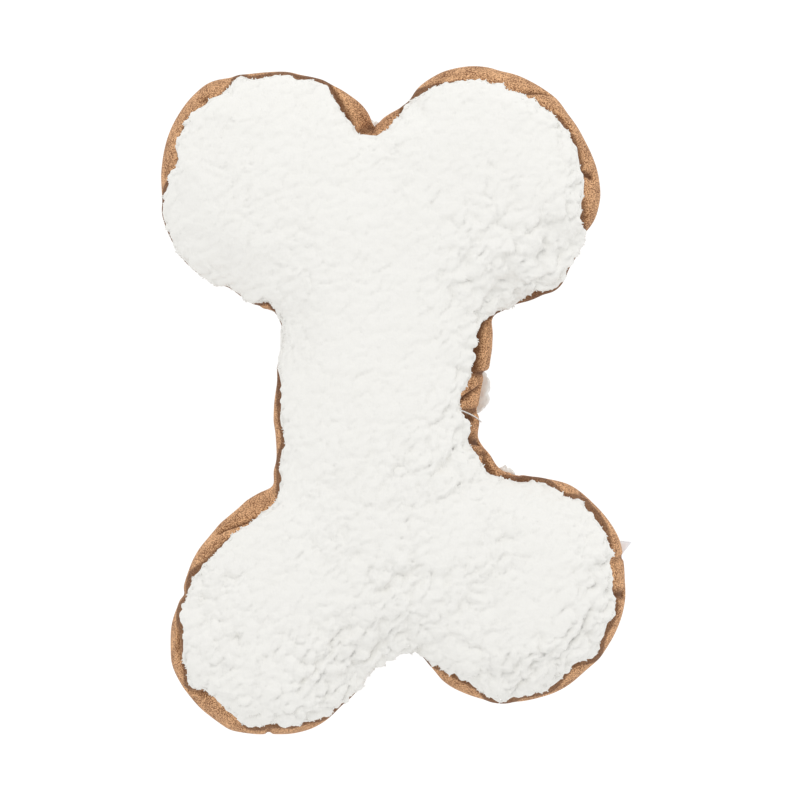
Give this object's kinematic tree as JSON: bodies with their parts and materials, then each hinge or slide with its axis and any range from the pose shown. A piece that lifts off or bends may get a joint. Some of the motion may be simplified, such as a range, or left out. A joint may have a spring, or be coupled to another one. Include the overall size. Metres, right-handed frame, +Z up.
{
  "type": "squeaky dog toy",
  "caption": "Bone-shaped plush dog toy: sherpa front and back panels sewn to a suede edge band, stuffed with fibrefill round a bellows squeaker.",
  "frame": {"origin": "under the middle of the toy's box, on the surface that it lies on", "axes": "+Z up from the back panel to the front panel, +Y along the bone, +X across it"},
  "size_m": [0.1706, 0.2392, 0.0615],
  "materials": {
    "sherpa": "curly sherpa pile, white",
    "suede": "tan suede cloth with a fine fleck",
    "thread": "off-white sewing thread",
    "satin": "bare white satin ribbon",
    "fibrefill": "loose white polyester fibrefill",
    "polythene": "blown soft plastic, milky",
    "hard_plastic": "moulded plastic, ivory",
    "reed_film": "thin clear film"
  },
  "bodies": {
    "back": {"back_panel": "sherpa", "edge_band": "suede", "back_seam_thread": "thread", "band_join_thread": "thread", "closing_stitch": "thread", "care_label": "satin", "back_wad_shaft": "fibrefill", "back_wad_upper_right": "fibrefill", "back_wad_upper_left": "fibrefill", "back_wad_lower_left": "fibrefill", "back_wad_lower_right": "fibrefill", "front_wad_shaft": "fibrefill", "front_wad_upper_right": "fibrefill", "front_wad_upper_left": "fibrefill", "front_wad_lower_left": "fibrefill", "front_wad_lower_right": "fibrefill", "squeaker_bellows": "polythene", "reed_sleeve": "hard_plastic", "reed_trough": "hard_plastic", "reed_wedge": "hard_plastic"},
    "front": {"front_panel": "sherpa", "front_seam_thread": "thread"},
    "reed": {"reed_strip": "reed_film"}
  },
  "joints": [
    {"name": "squeeze", "type": "slide", "parent": "back", "child": "front", "axis": [0, 0, -1], "range_m": [0, 0.012], "stiffness_N_per_m": 1200, "deforming": ["edge_band", "band_join_thread", "closing_stitch", "front_wad_shaft", "front_wad_upper_right", "front_wad_upper_left", "front_wad_lower_left", "front_wad_lower_right", "squeaker_bellows"]},
    {"name": "reed_flutter", "type": "hinge", "parent": "back", "child": "reed", "pos_m": [-0.00417, 0.00667, 0.0155], "axis": [0, 1, 0], "range_deg": [-3, 3], "stiffness_Nm_per_rad": 0.00001}
  ]
}
